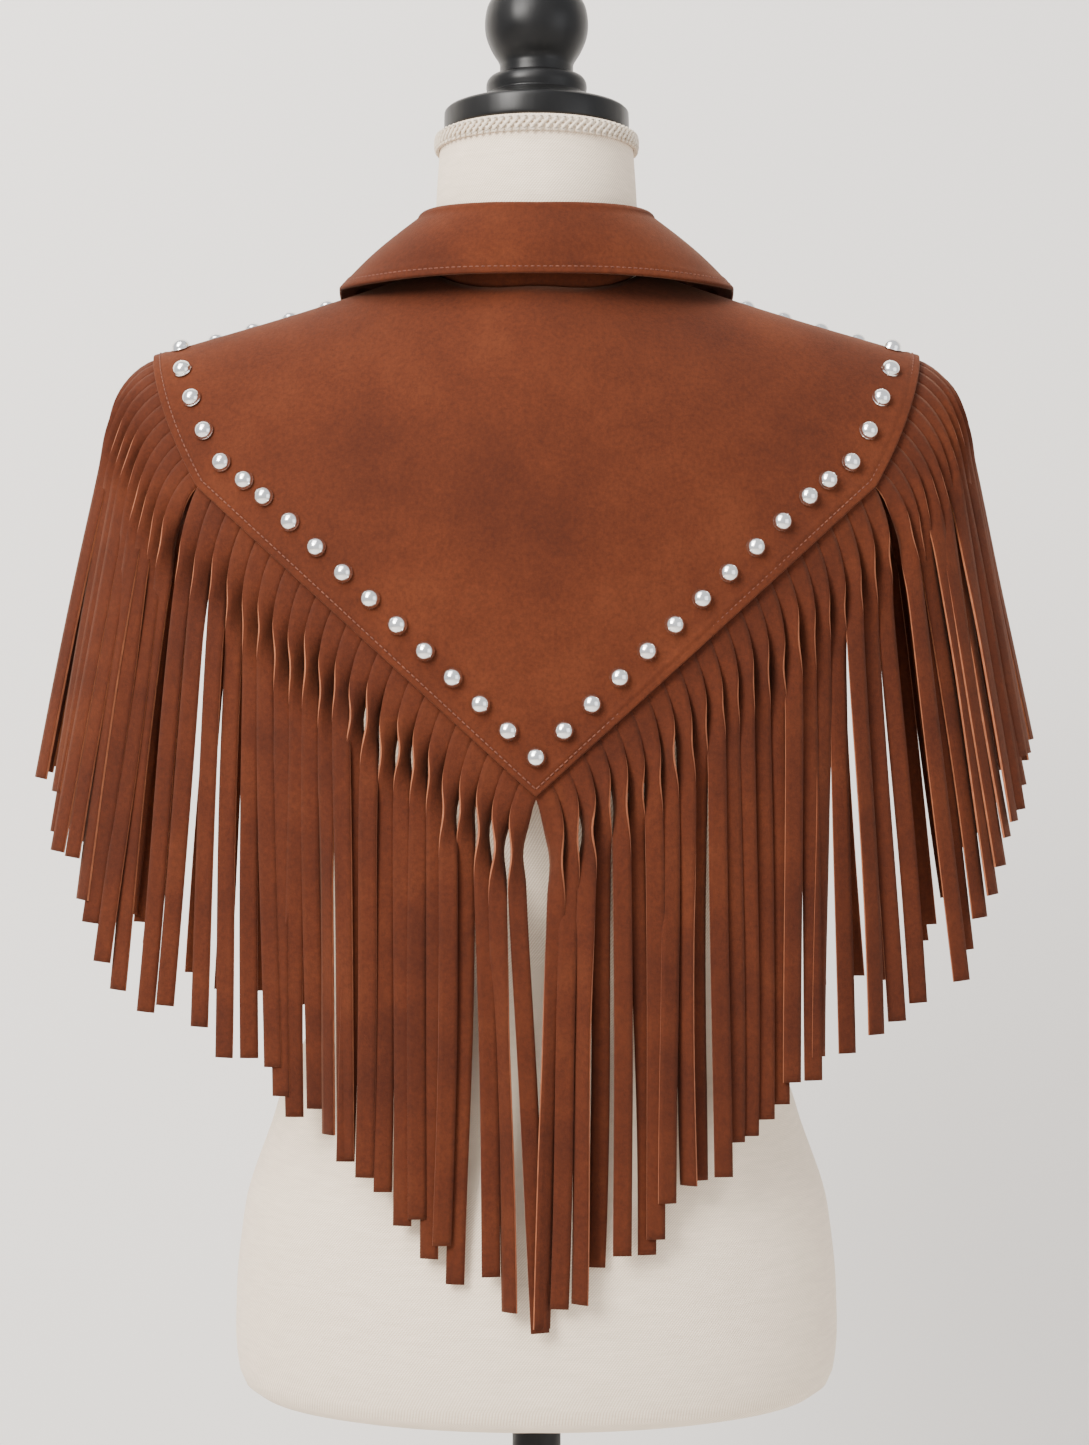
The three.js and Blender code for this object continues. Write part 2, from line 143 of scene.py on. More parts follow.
# ---------- meshes ----------
def add_piece(name, points, faces, material, slot, shade=True, uv=None):
    """A mesh that rides on the one body, in the given material. The slot is not used."""
    mesh = bpy.data.meshes.new(name)
    mesh.from_pydata((np.asarray(points) * MM).tolist(), [], faces)
    if uv is not None:
        layer = mesh.uv_layers.new(name="cut")
        loops = np.zeros(len(mesh.loops), dtype=np.int32)
        mesh.loops.foreach_get("vertex_index", loops)
        layer.data.foreach_set("uv", np.asarray(uv, float)[loops].ravel())
    mesh.polygons.foreach_set("use_smooth", [shade] * len(mesh.polygons))
    mesh.materials.append(material)
    mesh.validate()
    piece = bpy.data.objects.new(name, mesh)
    bpy.context.scene.collection.objects.link(piece)
    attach(piece, "root")
    return piece


def grid_faces(rows, columns, start=0, flip=False, wrap=False):
    faces = []
    for i in range(rows - 1):
        for j in range(columns if wrap else columns - 1):
            k = (j + 1) % columns
            quad = [start + i * columns + j, start + i * columns + k,
                    start + (i + 1) * columns + k, start + (i + 1) * columns + j]
            faces.append(quad[::-1] if flip else quad)
    return faces


def rim_faces(rows, columns, count):
    rim = list(range(columns))
    rim += [i * columns + columns - 1 for i in range(1, rows)]
    rim += [(rows - 1) * columns + j for j in range(columns - 2, -1, -1)]
    rim += [i * columns for i in range(rows - 2, 0, -1)]
    pairs = zip(rim, rim[1:] + rim[:1])
    return [[b, a, a + count, b + count] for a, b in pairs]


def outward(points, faces):
    """Flips every face when the closed mesh is inside out."""
    volume = 0.0
    for face in faces:
        a, b, c = points[face[0]], points[face[1]], points[face[2]]
        volume += float(np.dot(a, np.cross(b, c)))
        if len(face) == 4:
            volume += float(np.dot(a, np.cross(c, points[face[3]])))
    return [f[::-1] for f in faces] if volume < 0 else faces


def shell(upper, lower):
    """Closed thin wall between two grids of points."""
    rows, columns = upper.shape[:2]
    count = rows * columns
    points = np.concatenate([upper.reshape(-1, 3), lower.reshape(-1, 3)])
    faces = grid_faces(rows, columns) + grid_faces(rows, columns, count, flip=True)
    faces += rim_faces(rows, columns, count)
    return points, outward(points, faces)


def grid_normals(points):
    along = np.gradient(points, axis=0)
    across = np.gradient(points, axis=1)
    return unit(np.cross(across, along))


# ---------- materials ----------
def new_material(name, color, roughness, metallic=0.0, sheen=0.0, coat=0.0):
    material = bpy.data.materials.new(name)
    material.use_nodes = True
    shader = material.node_tree.nodes["Principled BSDF"]
    shader.inputs["Base Color"].default_value = (*color, 1)
    shader.inputs["Roughness"].default_value = roughness
    shader.inputs["Metallic"].default_value = metallic
    shader.inputs["Sheen Weight"].default_value = sheen
    shader.inputs["Coat Weight"].default_value = coat
    return material, material.node_tree, shader


def add_node(tree, kind, **settings):
    node = tree.nodes.new(kind)
    for key, value in settings.items():
        if key in node.inputs:
            node.inputs[key].default_value = value
        else:
            setattr(node, key, value)
    return node


def noise(tree, scale, detail=4.0, roughness=0.6, stretch=(1, 1, 1)):
    place = add_node(tree, "ShaderNodeTexCoord")
    mapping = add_node(tree, "ShaderNodeMapping", Scale=stretch)
    texture = add_node(tree, "ShaderNodeTexNoise", Scale=scale, Detail=detail, Roughness=roughness)
    tree.links.new(place.outputs["Object"], mapping.inputs["Vector"])
    tree.links.new(mapping.outputs["Vector"], texture.inputs["Vector"])
    return texture.outputs["Fac"]


def ramp(tree, source, stops):
    node = add_node(tree, "ShaderNodeValToRGB")
    while len(node.color_ramp.elements) < len(stops):
        node.color_ramp.elements.new(0.5)
    for element, (position, color) in zip(node.color_ramp.elements, stops):
        element.position = position
        element.color = (*color, 1)
    tree.links.new(source, node.inputs["Fac"])
    return node.outputs["Color"]


def mix(tree, kind, factor, a, b):
    node = add_node(tree, "ShaderNodeMix", data_type="RGBA", blend_type=kind)
    node.inputs[0].default_value = factor
    tree.links.new(a, node.inputs[6])
    tree.links.new(b, node.inputs[7])
    return node.outputs[2]


def bump(tree, shader, source, strength, distance):
    node = add_node(tree, "ShaderNodeBump", Strength=strength, Distance=distance)
    tree.links.new(source, node.inputs["Height"])
    tree.links.new(node.outputs["Normal"], shader.inputs["Normal"])
    return node


def suede_material(name, dark, middle, light, patch_scale):
    material, tree, shader = new_material(name, middle, 0.92, sheen=0.12)
    shader.inputs["Sheen Roughness"].default_value = 0.45
    shader.inputs["Sheen Tint"].default_value = (0.9, 0.45, 0.28, 1)
    shader.inputs["Specular IOR Level"].default_value = 0.2
    patches = ramp(tree, noise(tree, patch_scale, 5, 0.62), [(0.33, dark), (0.52, middle), (0.7, light)])
    nap = ramp(tree, noise(tree, 420, 3, 0.7), [(0.25, (0.72, 0.72, 0.72)), (0.75, (1.18, 1.18, 1.18))])
    tree.links.new(mix(tree, "MULTIPLY", 1.0, patches, nap), shader.inputs["Base Color"])
    bump(tree, shader, noise(tree, 900, 3, 0.7), 0.35, 0.0006)
    return material


SUEDE = suede_material("suede", (0.058, 0.0118, 0.0033), (0.077, 0.0162, 0.0045), (0.098, 0.0225, 0.0066), 13)
# The strips take a darker copy of the panel suede: painted shade for the shadow among the hanging strips.
STRIP = suede_material("suede_strips_painted_shade", (0.05, 0.01, 0.003), (0.067, 0.0138, 0.004),
                       (0.082, 0.0185, 0.0055), 22)


def cut_edge_material():
    material, tree, shader = new_material("suede_cut_edge", (0.47, 0.19, 0.08), 0.9)
    color = ramp(tree, noise(tree, 160, 3), [(0.3, (0.2, 0.058, 0.021)), (0.7, (0.31, 0.1, 0.039))])
    tree.links.new(color, shader.inputs["Base Color"])
    return material


CUT_EDGE = cut_edge_material()


def thread_material():
    material, tree, shader = new_material("topstitch", (0.3, 0.11, 0.04), 0.7)
    color = ramp(tree, noise(tree, 700, 2), [(0.3, (0.075, 0.016, 0.006)), (0.7, (0.16, 0.045, 0.017))])
    tree.links.new(color, shader.inputs["Base Color"])
    return material


THREAD = thread_material()


def stud_material():
    material, tree, shader = new_material("polished_nickel", (0.82, 0.81, 0.79), 0.16, metallic=1.0)
    rough = ramp(tree, noise(tree, 300, 3), [(0.3, (0.13, 0.13, 0.13)), (0.7, (0.22, 0.22, 0.22))])
    tree.links.new(rough, shader.inputs["Roughness"])
    return material


NICKEL = stud_material()


def weave_wave(tree, coordinate, axis, scale, distortion):
    node = add_node(tree, "ShaderNodeTexWave", bands_direction=axis, Scale=scale, Distortion=distortion)
    node.inputs["Detail"].default_value = 2
    node.inputs["Detail Scale"].default_value = 3
    tree.links.new(coordinate, node.inputs["Vector"])
    return node.outputs["Color"]


def linen_material():
    material, tree, shader = new_material("linen", (0.8, 0.71, 0.58), 0.9, sheen=0.1)
    shader.inputs["Specular IOR Level"].default_value = 0.2
    place = add_node(tree, "ShaderNodeUVMap", uv_map="cut")
    slant = add_node(tree, "ShaderNodeMapping", Rotation=(0, 0, math.radians(38)))
    tree.links.new(place.outputs["UV"], slant.inputs["Vector"])
    weft = weave_wave(tree, slant.outputs["Vector"], "X", 240, 0.7)
    warp = weave_wave(tree, place.outputs["UV"], "Y", 330, 0.9)
    threads = mix(tree, "MULTIPLY", 0.55, weft, warp)
    tone = ramp(tree, threads, [(0.0, (0.72, 0.56, 0.41)), (0.5, (0.88, 0.745, 0.585)),
                                (1.0, (0.95, 0.84, 0.7))])
    slub = ramp(tree, noise(tree, 60, 4, 0.6, (1, 1, 7)),
                [(0.3, (0.93, 0.92, 0.9)), (0.7, (1.04, 1.03, 1.02))])
    tree.links.new(mix(tree, "MULTIPLY", 1.0, tone, slub), shader.inputs["Base Color"])
    bump(tree, shader, threads, 0.3, 0.0005)
    return material


LINEN = linen_material()


def braid_material():
    material, tree, shader = new_material("gimp_braid", (0.74, 0.62, 0.48), 0.8, sheen=0.2)
    color = ramp(tree, noise(tree, 500, 3), [(0.3, (0.62, 0.5, 0.37)), (0.7, (0.82, 0.71, 0.57))])
    tree.links.new(color, shader.inputs["Base Color"])
    bump(tree, shader, noise(tree, 1500, 2), 0.4, 0.0004)
    return material


BRAID = braid_material()


def black_material(name, roughness, grain):
    material, tree, shader = new_material(name, (0.004, 0.0038, 0.0037), roughness)
    shader.inputs["Specular IOR Level"].default_value = 0.28
    rough = ramp(tree, noise(tree, grain, 4, 0.6, (1, 1, 0.2)), [(0.3, (roughness * 0.8,) * 3),
                                                                (0.7, (roughness * 1.25,) * 3)])
    tree.links.new(rough, shader.inputs["Roughness"])
    bump(tree, shader, noise(tree, grain * 2, 3, 0.6, (1, 1, 0.15)), 0.08, 0.0005)
    return material


BLACK_WOOD = black_material("black_wood", 0.36, 60)
BLACK_METAL = black_material("black_metal", 0.42, 200)


# ---------- panels ----------
def half_columns(face, hem_count=64, side_count=44):
    """Ends of the columns, at the neckline and at the outer edge, from the middle to the shoulder."""
    hem_t = np.linspace(0, 1, hem_count)
    side_t = np.linspace(0, 1, side_count + 1)[1:]
    hem_angle = np.pi / 2 + (NECK_TURN - np.pi / 2) * hem_t
    necks = [neck_line(face, hem_angle), neck_line(face, NECK_TURN * (1 - side_t))]
    edges = [hem_line(face, hem_t), side_line(face, side_t)]
    return join_runs(necks), join_runs(edges)


def join_runs(runs):
    return np.array([np.concatenate([run[k] for run in runs]) for k in (0, 1)])


def both_halves(half):
    return np.concatenate([half[:, ::-1] * np.array([[-1], [1]]), half[:, 1:]], axis=1)


def column_lengths(face, neck, edge):
    """Length of each column in plan and height, a little over, so that none is zero."""
    return np.hypot(*(drape(face, *edge) - drape(face, *neck)).T[[0, 2]]) + 1


WAVE_HEIGHT = 0.54
EDGE_ROWS = np.array([0.0, 0.3, 0.7, 1.2, 2.4, 3.4, 4.2, 5.0, 6.2, 7.2, 8.4, 9.6])  # distances from the edge
INNER_ROWS = 40


def hem_relief(distance):
    """Turned edge: a rounded rim, a slightly raised band, and the dent of the topstitching."""
    rim = 0.9 * (np.sqrt(np.clip(1 - (1 - np.clip(distance / 0.9, 0, 1)) ** 2, 0, 1)) - 1)
    band = 0.55 * (1 - smooth(distance, 7, 9.5))
    stitch = -0.4 * np.exp(-((distance - STITCH_INSET) / 0.8) ** 2)
    return rim + band + stitch


def soft_waves(x, s):
    """Slow rises and falls of the suede over the form, none at the shoulder seam."""
    wave = np.sin(x / 47 + 0.6) * np.sin(s / 61 + 0.4) + 0.5 * np.sin((x + s) / 29)
    return (WAVE_HEIGHT * wave * smooth(s, 0, 40))[..., None]


def panel_rows(face, neck, edge):
    """Rows of (x, s) from neckline to edge, close together near the edge, and their distances from it."""
    length = column_lengths(face, neck, edge)
    band = EDGE_ROWS[-1]
    rows, distances = [], []
    for u in np.linspace(0, 1, INNER_ROWS):
        rows.append(neck + (edge - neck) * (u * (1 - band / length)))
        distances.append(np.full_like(length, band if u == 1 else 30.0))
    for distance in EDGE_ROWS[::-1][1:]:
        rows.append(neck + (edge - neck) * (1 - distance / length))
        distances.append(np.full_like(length, distance))
    return np.array(rows), np.array(distances)


def add_panel(name, face, sides):
    """A panel's shell, and the area of one of its sides. sides is 2 for both halves, 1 left or -1 right."""
    neck, edge = half_columns(face)
    if sides == 2:
        neck, edge = both_halves(neck), both_halves(edge)
    rows, distances = panel_rows(face, neck, edge)
    x, s = rows[:, 0], np.maximum(SEAM_ARC, rows[:, 1])
    normal = drape_normal(face, x, s)
    centre = drape(face, x, s) + normal * soft_waves(x, s)
    upper = centre + normal * hem_relief(distances)[..., None]
    lower = centre - normal * (CLOTH - 0.3 * np.exp(-distances / 0.8))[..., None]
    flip = [-1 if sides == -1 else 1, 1, 1]
    piece = add_piece(name, *shell(upper * flip, lower * flip), SUEDE, "suede")
    return piece, piece_area(piece) / 2


def piece_area(piece):
    return sum(p.area for p in piece.data.polygons)


back, back_area = add_panel("back_panel", "back", 2)
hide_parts("back")
SIDES = (("left", 1), ("right", -1))
fronts = {}
for side, mirror in SIDES:
    fronts[side], front_area = add_panel(f"front_panel_{side}", "front", mirror)
    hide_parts(f"front_{side}")

# ---------- collar ----------
# Neck angle, roll line and outer edge of the collar, from centre back to centre front.
COLLAR = [
    (90, (0, 67, 1458), (0, 76.5, 1418)),
    (72, (21, 65, 1458.5), (36, 74.5, 1418)),
    (54, (39, 56.5, 1459.5), (67, 63.5, 1418)),
    (36, (53, 42, 1461), (92, 45.5, 1418)),
    (18, (62, 23, 1462.5), (108, 24, 1419)),
    (0, (65, 1, 1463), (114, -2, 1421)),
    (-18, (62, -22, 1456), (113, -30, 1413)),
    (-36, (53, -42, 1444), (104, -55, 1398)),
    (-54, (38, -57, 1429), (90, -77, 1379)),
    (-72, (21, -67, 1415), (72, -95, 1361)),
    (-89.5, (4, -72, 1405), (52, -110, 1345)),
]
COLLAR_WALL = 1.8


COLLAR_CLEAR = COLLAR_WALL / 2 + 2.4


def clear_of_cloth(point, clearance):
    """The point, lifted off the cloth where it is nearer than the clearance."""
    face = "back" if point[1] >= 0 else "front"
    s = np.arange(0, 320, 1.0)
    surface = drape(face, point[0], s)
    best = s[np.argmin(np.linalg.norm(surface - point, axis=1))]
    normal = drape_normal(face, point[0], best)
    height = float(np.dot(point - drape(face, point[0], best), normal))
    return point + normal * max(0.0, clearance - height)


def through(values, t):
    """Smooth curve through equally spaced values (Catmull-Rom)."""
    values = np.asarray(values, float)
    k = min(int(t), len(values) - 2)
    u = t - k
    p0, p1 = values[max(k - 1, 0)], values[k]
    p2, p3 = values[k + 1], values[min(k + 2, len(values) - 1)]
    return 0.5 * (2 * p1 + (p2 - p0) * u + (2 * p0 - 5 * p1 + 4 * p2 - p3) * u**2
                  + (3 * p1 - p0 - 3 * p2 + p3) * u**3)


def collar_path(t, count=36):
    """One section of the collar: up the stand, over the roll and down the fall."""
    angle = through([row[0] for row in COLLAR], t)
    top = through([row[1] for row in COLLAR], t)
    tip = through([row[2] for row in COLLAR], t)
    face = "back" if angle >= 0 else "front"
    radians = math.radians(abs(angle))
    foot = drape(face, *neck_line(face, radians)).reshape(3)
    inset = 2.2 if angle >= 0 else 2.2 + 1.6 * math.sin(radians) ** 2
    foot = foot - inset * unit(np.array([foot[0], foot[1], 0])) - [0, 0, 0.5]
    out = unit(np.array([tip[0] - foot[0], tip[1] - foot[1], 0]))
    stand = min(4, (top[2] - foot[2]) * 0.45)
    inside = top - out * 3 - [0, 0, stand]
    outside = top + out * 3 - [0, 0, 3]
    path = [foot + (inside - foot) * u for u in np.linspace(0, 1, 8)[:-1]]
    for turn in np.linspace(0, math.pi, 10)[:-1]:
        lift = stand if turn < math.pi / 2 else 3
        path.append(top + out * -3 * math.cos(turn) + np.array([0, 0, -lift + lift * math.sin(turn)]))
    for u in 1 - (1 - np.linspace(0, 1, count - len(path))) ** 1.5:
        crown = out * 3 * math.sin(math.pi * u)
        path.append(clear_of_cloth(outside + (tip - outside) * u + crown, COLLAR_CLEAR))
    return np.array(path)


def build_collar():
    half = [collar_path(t) for t in np.linspace(0, len(COLLAR) - 1, 70)]
    mirrored = [path * [-1, 1, 1] for path in half[:0:-1]]
    rows = np.array(mirrored + half).transpose(1, 0, 2)
    normals = grid_normals(rows)
    if normals[-4, rows.shape[1] // 2, 1] < 0:
        normals = -normals
    from_edge = np.linalg.norm(rows - rows[-1], axis=-1)
    relief = hem_relief(from_edge)[..., None] * 0.8
    piece = add_piece("collar_fold", *shell(rows + normals * (COLLAR_WALL / 2 + relief),
                                            rows - normals * COLLAR_WALL / 2), SUEDE, "suede")
    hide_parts("collar")
    return piece, rows + normals * COLLAR_WALL / 2, normals


collar, collar_outer, collar_normals = build_collar()


# ---------- topstitching: short threads lying in their dents ----------
def stitch_run(points, normals, pitch=3.4, thread=0.42):
    """Small six-sided threads along a line of points."""
    step = np.linalg.norm(np.diff(points, axis=0), axis=1)
    at = np.concatenate([[0], np.cumsum(step)])
    count = int(at[-1] / pitch)
    vertices, faces = [], []
    for k in range(count):
        spans = (np.array([0.08, 0.25, 0.5, 0.67, 0.84]) + k) * pitch
        lift = [-0.25, 0.12, 0.2, 0.12, -0.25]
        line = np.array([[np.interp(s, at, points[:, a]) for a in range(3)] for s in spans])
        up = unit(np.array([np.interp(spans[2], at, normals[:, a]) for a in range(3)]))
        forward = unit(line[-1] - line[0])
        side = np.cross(forward, up)
        start = len(vertices)
        for centre, raise_by in zip(line, lift):
            for turn in np.arange(6) * math.pi / 3:
                round_up = up * (raise_by + thread * math.sin(turn))
                vertices.append(centre + round_up + side * thread * math.cos(turn))
        faces += grid_faces(5, 6, start, wrap=True)
        faces += [list(range(start + 5, start - 1, -1)), list(range(start + 24, start + 30))]
    return vertices, faces


def outline_points(face, inset, mirror, lift):
    """The hem from the middle to the corner, then the side up to the shoulder."""
    neck, edge = half_columns(face, 90, 60)
    x, s = neck + (edge - neck) * (1 - inset / column_lengths(face, neck, edge))
    s = np.maximum(SEAM_ARC, s)
    normal = drape_normal(face, x, s)
    points = drape(face, x, s) + normal * (lift + soft_waves(x, s))
    flip = np.array([mirror, 1, 1])
    return points * flip, normal * flip


def build_stitches():
    vertices, faces = [], []
    runs = []
    for face in ("back", "front"):
        for mirror in (1, -1):
            runs.append(outline_points(face, STITCH_INSET, mirror, 0.35))
    gaps = np.linalg.norm(collar_outer - collar_outer[-1], axis=-1)
    columns = range(2, collar_outer.shape[1] - 2)
    rows = [int(np.argmin(np.abs(gaps[:, j] - STITCH_INSET))) for j in columns]
    runs.append((np.array([collar_outer[i, j] for i, j in zip(rows, columns)]),
                 np.array([collar_normals[i, j] for i, j in zip(rows, columns)])))
    for points, normals in runs:
        more, extra = stitch_run(points, normals)
        faces += [[v + len(vertices) for v in f] for f in extra]
        vertices += more
    return add_piece("topstitching", np.array(vertices), faces, THREAD, "suede")


stitches = build_stitches()

# ---------- fringe ----------
STRIP_WIDTH = 10.0
STRIP_THICK = 1.2
STRIP_LENGTH = 284
TIP_SHORTENING = 44  # strips at the shoulder tip are shorter
BEND = 18.0  # length over which a strip turns down
TUCK = 8.0  # how far it runs under the hem
STRIP_STEP = 4.0


def strip_mesh(path, width, normal, widths):
    """A flat strip with a slight bow across: its points, its faces, and which faces are cut edges."""
    across = np.array([-0.5, -0.25, 0, 0.25, 0.5])
    bow = 0.35 * (1 - (2 * across) ** 2)
    ring = []
    for side in (1, -1):
        for a, c in zip(across[::side], bow[::side]):
            ring.append(path + width * (a * widths)[:, None] + normal * (side * STRIP_THICK / 2 + c))
    points = np.array(ring).transpose(1, 0, 2)
    rows, columns = points.shape[:2]
    faces = grid_faces(rows, columns, wrap=True)
    faces += [list(range(columns - 1, -1, -1)), [(rows - 1) * columns + j for j in range(columns)]]
    edge_columns = {4, 9}
    ends = (rows - 1) * columns
    cut = [i >= ends or (i % columns) in edge_columns for i in range(len(faces))]
    flat = points.reshape(-1, 3)
    return flat, outward(flat, faces), cut


def strip_habit():
    """How one strip hangs: the small differences that make no two alike."""
    return dict(
        flare=math.radians(rng.gauss(0, 0.5)),
        away=math.radians(1.1 + rng.gauss(0, 0.35)),
        spare=rng.uniform(-9, 7),
        layer=(1 if rng.random() < 0.5 else -1) * rng.uniform(1.2, 3.0),
        twist=math.radians(rng.uniform(46, 68)),
        twist_at=rng.uniform(32, 44),
        twist_wide=rng.uniform(15, 20),
        yaw=math.radians(rng.uniform(-38, 38) if rng.random() < 0.2 else rng.uniform(-15, 15)),
        sway=rng.uniform(0.3, 1.4),
        phase=rng.uniform(0, 6.28),
    )


def under_cloth(face, spot):
    """The point under the panel at (x, s) where the middle of a strip's thickness lies."""
    x, s = spot[0], max(spot[1], SEAM_ARC)
    below = CLOTH + 0.5 + STRIP_THICK / 2
    return (drape(face, x, s) - below * drape_normal(face, x, s)).reshape(3)


def strip_root(face, line, t):
    """Where a strip starts, the way it leaves the edge, and the way the edge runs there."""
    here, before, after = ([float(v) for v in line(face, q)] for q in (t, max(0, t - 0.01), min(1, t + 0.01)))
    edge = np.array(here)
    tangent = np.array(after) - np.array(before)
    out = unit(np.array([tangent[1], -tangent[0]]))
    if line is hem_line and out[1] < 0 or line is side_line and out[0] < 0:
        out = -out
    start = under_cloth(face, edge)
    leave = unit(start - under_cloth(face, edge - out * 2))
    if line is hem_line:
        leave = unit(leave * 0.62 + np.array([0.0, 0.0, -0.38]))
    along = unit(under_cloth(face, edge + unit(tangent) * 2) - start)
    return edge, start, under_cloth(face, edge - out * TUCK), leave, along


def strip_path(face, line, x, start, tucked, leave, habit):
    """Points of the strip's middle, and the distance of each from the hem."""
    sign = FACES[face]["sign"]
    flare = math.radians(11) * np.clip((x - 150) / 71, 0, 1) + habit["flare"]
    if line is hem_line:
        flare -= math.radians(2.6) * float(1 - smooth(x, 0, 45))
    end = unit(np.array([math.sin(flare), math.sin(habit["away"] * sign), -math.cos(flare)]))
    total = STRIP_LENGTH - TIP_SHORTENING * float(smooth(x, CORNER_X, SHOULDER_TIP)) + habit["spare"]
    count = int(total / STRIP_STEP)
    travel = np.arange(count + 1) * (total / count)
    path, cursor = [tucked, (tucked + start) / 2], start.copy()
    for distance in travel:
        path.append(cursor.copy())
        share = math.exp(-(distance + STRIP_STEP / 2) / BEND)
        cursor = cursor + unit(end * (1 - share) + leave * share) * (total / count)
    return np.array(path), np.concatenate([[-TUCK, -TUCK / 2], travel])


def facing_out(face, line, x, s):
    """The way a hanging strip faces."""
    sign = FACES[face]["sign"]
    if line is side_line:
        return unit(np.array([0.55, sign * (0.35 + 0.9 * s / 115), 0.0]))
    return unit(np.array([0.35 * x / 200, sign * 1.0, 0.0]))


def strip_frame(path, travel, root_normal, outer, along, habit):
    """Width and face directions: flat on the cloth, nearly edge-on below it, then hanging face-on."""
    forward = unit(np.gradient(path, axis=0))
    blend = smooth(travel, 0, 45)[:, None]
    width = unit(np.cross(forward, unit(root_normal * (1 - blend) + outer * blend)))
    if np.dot(width[0], along) < 0:
        width = -width
    normal = unit(np.cross(width, forward))
    if np.dot(normal[0], root_normal) < 0:
        normal = -normal
    rise = np.exp(-((travel - habit["twist_at"]) / habit["twist_wide"]) ** 2) * smooth(travel, 2, 20)
    angle = (habit["twist"] * rise + habit["yaw"] * smooth(travel, 60, 150))[:, None]
    turned = np.sin(angle) * (np.sign(width[0, 0]) or 1)
    return width * np.cos(angle) + normal * turned, normal * np.cos(angle) - width * turned


def strip(face, line, t, pitch, mirror):
    """One strip, from under the edge at t on its outline to its cut end."""
    edge, start, tucked, leave, along = strip_root(face, line, t)
    x, s = edge
    habit = strip_habit()
    path, travel = strip_path(face, line, x, start, tucked, leave, habit)
    outer = facing_out(face, line, x, s)
    root_normal = drape_normal(face, x, max(s, SEAM_ARC)).reshape(3)
    width, normal = strip_frame(path, travel, root_normal, outer, along, habit)
    depth = smooth(travel, 12, 75)[:, None]
    path = path + outer * habit["layer"] * depth
    sway = habit["sway"] * np.sin(travel / 55 + habit["phase"])[:, None]
    path = path + unit(np.cross(outer, [0, 0, 1])) * (sway * depth)
    widths = pitch + (STRIP_WIDTH - pitch) * smooth(travel, 22, 62)
    flip = np.array([mirror, 1, 1])
    return strip_mesh(path * flip, width * flip, normal * flip, widths)


def add_fringe(name, nodes, runs):
    """Joined strips of some runs: face, outline, its first and last t, and the count of strips."""
    vertices, faces, cuts = [], [], []
    for face, line, low, high, count, mirror in runs:
        ts = np.linspace(low, high, count)
        pitch = float(np.linalg.norm(np.diff(drape(face, *line(face, ts)), axis=0), axis=1).mean())
        for t in ts:
            points, extra, cut = strip(face, line, float(t), pitch - 0.25, mirror)
            faces += [[v + len(vertices) for v in f] for f in extra]
            vertices += points.tolist()
            cuts += cut
    # STRIP is the darker copy of the suede, painted shade of the fringe.
    piece = add_piece(name, np.array(vertices), faces, STRIP, "suede", shade=False)
    piece.data.materials.append(CUT_EDGE)
    for polygon, cut in zip(piece.data.polygons, cuts):
        polygon.material_index = 1 if cut else 0
        polygon.use_smooth = not cut
    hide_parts(*nodes)
    return piece


for side, mirror in SIDES:
    add_fringe(f"strips_back_{side}", [f"fringe_back_{side}"],
                                       [("back", hem_line, 0.022, 0.98, 22, mirror)])
    add_fringe(f"strips_front_{side}", [f"fringe_front_{side}"],
                                        [("front", hem_line, 0.03, 0.97, 17, mirror)])
    shoulder_nodes = [f"fringe_shoulder_back_{side}", f"fringe_shoulder_front_{side}"]
    add_fringe(
        f"strips_shoulder_{side}", shoulder_nodes,
        [(face, side_line, 0.05, 0.97, 12, mirror) for face in FACES])


# ---------- turned and lathed pieces ----------
def lathe(profile, segments, centre=(0, 0, 0), axis=None):
    """A turned body from (radius, height) pairs, round Z or another axis."""
    profile = np.asarray(profile, float)
    turn = np.linspace(0, 2 * math.pi, segments, endpoint=False)
    points = np.stack([profile[:, 0][:, None] * np.cos(turn), profile[:, 0][:, None] * np.sin(turn),
                       np.repeat(profile[:, 1][:, None], segments, 1)], -1)
    if axis is not None:
        axis = unit(np.asarray(axis, float))
        first = unit(np.cross([0.3, 0.2, 0.9] if abs(axis[2]) < 0.8 else [1.0, 0, 0], axis))
        second = np.cross(axis, first)
        points = points[..., :1] * first + points[..., 1:2] * second + points[..., 2:] * axis
    flat = (points + np.asarray(centre)).reshape(-1, 3)
    rows = len(profile)
    faces = grid_faces(rows, segments, wrap=True)
    faces += [list(range(segments - 1, -1, -1)), [(rows - 1) * segments + j for j in range(segments)]]
    return flat, outward(flat, faces)


def curve_profile(points, dense=8):
    """Rounds a profile by a smooth curve through its points."""
    samples = [through(points, k / dense) for k in range((len(points) - 1) * dense + 1)]
    return [(max(0.01, r), h) for r, h in samples]


STUD = dict(radius=5.5, height=4.4, spacing=14.9, rise=14.23, first=1152.3)
SIDE_STUDS = [(160.3, 1304), (173.6, 1314.5), (184.3, 1332.8), (192.7, 1352.2), (199.9, 1370)]
RIDGE_STUD = (204, 13)
SHOULDER_ROW = dict(first=100.5, spacing=21.5, count=4, s=8)


